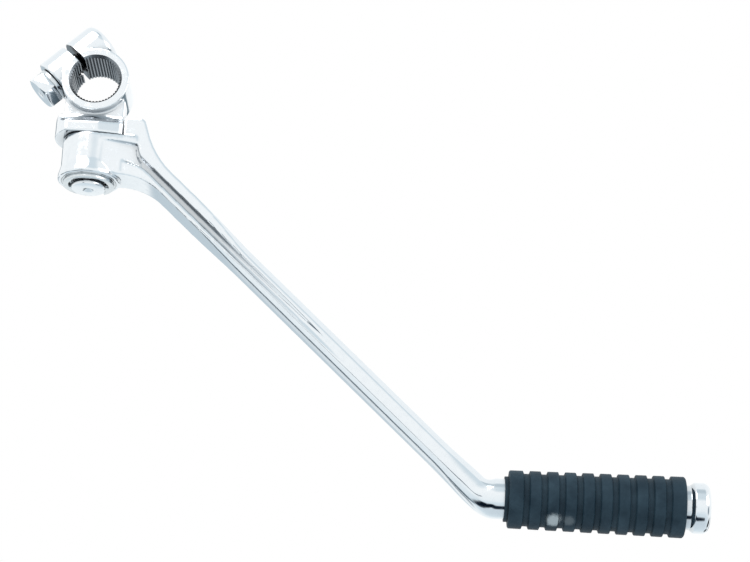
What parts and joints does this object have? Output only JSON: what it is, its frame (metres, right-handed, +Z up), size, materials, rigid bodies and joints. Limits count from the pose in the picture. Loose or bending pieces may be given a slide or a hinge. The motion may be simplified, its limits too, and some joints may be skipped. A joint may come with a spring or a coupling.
{
  "type": "folding kick start lever",
  "caption": "Folding kick start lever: a splined clamp knuckle with pinch bolt, a forged arm that swings on a vertical pivot, and a pedal peg in a ribbed rubber sleeve.",
  "frame": {"origin": "centre of the splined bore, midway through the boss", "axes": "+Y along the bore away from the rider's side, +Z up along the pivot, +X towards the pedal with the arm stowed"},
  "size_m": [0.2729, 0.0249, 0.2001],
  "materials": {
    "chrome_forging": "polished chrome plate on forged steel",
    "sleeve_rubber": "satin moulded rubber",
    "bolt_chrome": "polished chrome plate",
    "dark_steel": "phosphated spring steel",
    "zinc_steel": "bright zinc plate",
    "bright_steel": "polished bearing steel"
  },
  "bodies": {
    "hub": {"knuckle": "chrome_forging", "pinch_bolt": "bolt_chrome", "lock_washer": "zinc_steel", "pivot_washer": "zinc_steel", "retaining_clip": "zinc_steel", "detent_ball": "bright_steel", "detent_spring": "dark_steel"},
    "arm": {"kick_arm": "chrome_forging", "grip_rubber": "sleeve_rubber"}
  },
  "joints": [
    {"name": "arm_fold", "type": "hinge", "parent": "hub", "child": "arm", "pos_m": [0, 0, -0.0323], "axis": [0, 0, 1], "range_deg": [0, 90]}
  ]
}
